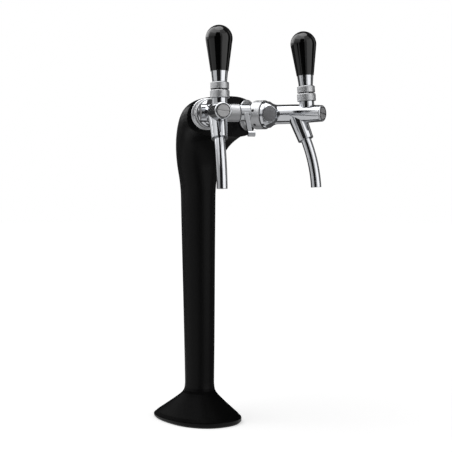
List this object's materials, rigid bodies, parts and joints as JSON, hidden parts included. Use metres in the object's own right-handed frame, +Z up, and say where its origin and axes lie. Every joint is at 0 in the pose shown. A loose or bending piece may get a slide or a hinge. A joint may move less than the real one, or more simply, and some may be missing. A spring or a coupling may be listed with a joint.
{
  "type": "draft beer dispenser",
  "caption": "Cobra-shaped black counter tower with flow-control beer taps on its hood, each with a tilting handle, a regulator lever and a bent spout.",
  "frame": {"origin": "on the counter under the centre of the oval foot", "axes": "+Z up, front towards -Y, +X to the right as seen from the front"},
  "size_m": [0.2193, 0.2865, 0.5882],
  "materials": {
    "black_paint": "satin black powder coat",
    "chrome": "polished",
    "satin_chrome": "satin",
    "grey_metal": "dark satin",
    "black_plastic": "gloss black",
    "brass": "turned",
    "steel": "zinc plated",
    "rubber": "matt",
    "white_plastic": "moulded",
    "grey_plastic": "moulded",
    "clear_plastic": "clear tube"
  },
  "bodies": {
    "tower": {"tower_body": "black_paint", "base_plate": "steel", "base_gasket": "rubber", "plate_screws": "steel", "flange_gasket_left": "rubber", "tap_flange_left": "chrome", "shank_left": "chrome", "shank_nut_left": "brass", "tail_washer_left": "rubber", "coupling_ring_left": "satin_chrome", "tap_body_left": "chrome", "regulator_gland_left": "satin_chrome", "regulator_cap_left": "grey_metal", "front_plug_left": "grey_metal", "bonnet_ring_left": "satin_chrome", "spout_left": "chrome", "beer_line_left": "clear_plastic", "line_coupler_left": "grey_plastic", "flange_gasket_right": "rubber", "tap_flange_right": "chrome", "shank_right": "chrome", "shank_nut_right": "brass", "tail_washer_right": "rubber", "coupling_ring_right": "satin_chrome", "tap_body_right": "chrome", "regulator_gland_right": "satin_chrome", "regulator_cap_right": "grey_metal", "front_plug_right": "grey_metal", "bonnet_ring_right": "satin_chrome", "spout_right": "chrome", "beer_line_right": "clear_plastic", "line_coupler_right": "grey_plastic"},
    "handle_left": {"tap_lever_left": "steel", "skirt_ring_left": "satin_chrome", "handle_ferrule_left": "chrome", "handle_grip_left": "black_plastic"},
    "piston_left": {"valve_piston_left": "white_plastic", "piston_seals_left": "rubber"},
    "regulator_left": {"regulator_shaft_left": "brass", "regulator_lever_left": "chrome", "regulator_screw_left": "steel"},
    "compensator_left": {"compensator_left": "white_plastic"},
    "handle_right": {"tap_lever_right": "steel", "skirt_ring_right": "satin_chrome", "handle_ferrule_right": "chrome", "handle_grip_right": "black_plastic"},
    "piston_right": {"valve_piston_right": "white_plastic", "piston_seals_right": "rubber"},
    "regulator_right": {"regulator_shaft_right": "brass", "regulator_lever_right": "chrome", "regulator_screw_right": "steel"},
    "compensator_right": {"compensator_right": "white_plastic"}
  },
  "joints": [
    {"name": "handle_left_tilt", "type": "hinge", "parent": "tower", "child": "handle_left", "pos_m": [-0.07575, -0.17654, 0.49095], "axis": [0.9198, -0.3923, 0], "range_deg": [-12, 25]},
    {"name": "piston_left_slide", "type": "slide", "parent": "tower", "child": "piston_left", "axis": [-0.3923, -0.9198, 0], "range_m": [-0.007, 0.00337]},
    {"name": "regulator_left_turn", "type": "hinge", "parent": "tower", "child": "regulator_left", "pos_m": [-0.0554, -0.12883, 0.469], "axis": [0.9198, -0.3923, 0], "range_deg": [-90, 0]},
    {"name": "compensator_left_slide", "type": "slide", "parent": "tower", "child": "compensator_left", "axis": [-0.3923, -0.9198, 0], "range_m": [-0.00002, 0.00302]},
    {"name": "handle_right_tilt", "type": "hinge", "parent": "tower", "child": "handle_right", "pos_m": [0.07575, -0.17654, 0.49095], "axis": [0.9198, 0.3923, 0], "range_deg": [-12, 25]},
    {"name": "piston_right_slide", "type": "slide", "parent": "tower", "child": "piston_right", "axis": [0.3923, -0.9198, 0], "range_m": [-0.007, 0.00337]},
    {"name": "regulator_right_turn", "type": "hinge", "parent": "tower", "child": "regulator_right", "pos_m": [0.0554, -0.12883, 0.469], "axis": [0.9198, 0.3923, 0], "range_deg": [0, 90]},
    {"name": "compensator_right_slide", "type": "slide", "parent": "tower", "child": "compensator_right", "axis": [0.3923, -0.9198, 0], "range_m": [-0.00302, 0.00002]}
  ],
  "couplings": [
    {"joint": "piston_left_slide", "follows": "handle_left_tilt", "m_per_rad": -0.016},
    {"joint": "compensator_left_slide", "follows": "regulator_left_turn", "m_per_rad": -0.0019099},
    {"joint": "piston_right_slide", "follows": "handle_right_tilt", "m_per_rad": -0.016},
    {"joint": "compensator_right_slide", "follows": "regulator_right_turn", "m_per_rad": -0.0019099}
  ]
}
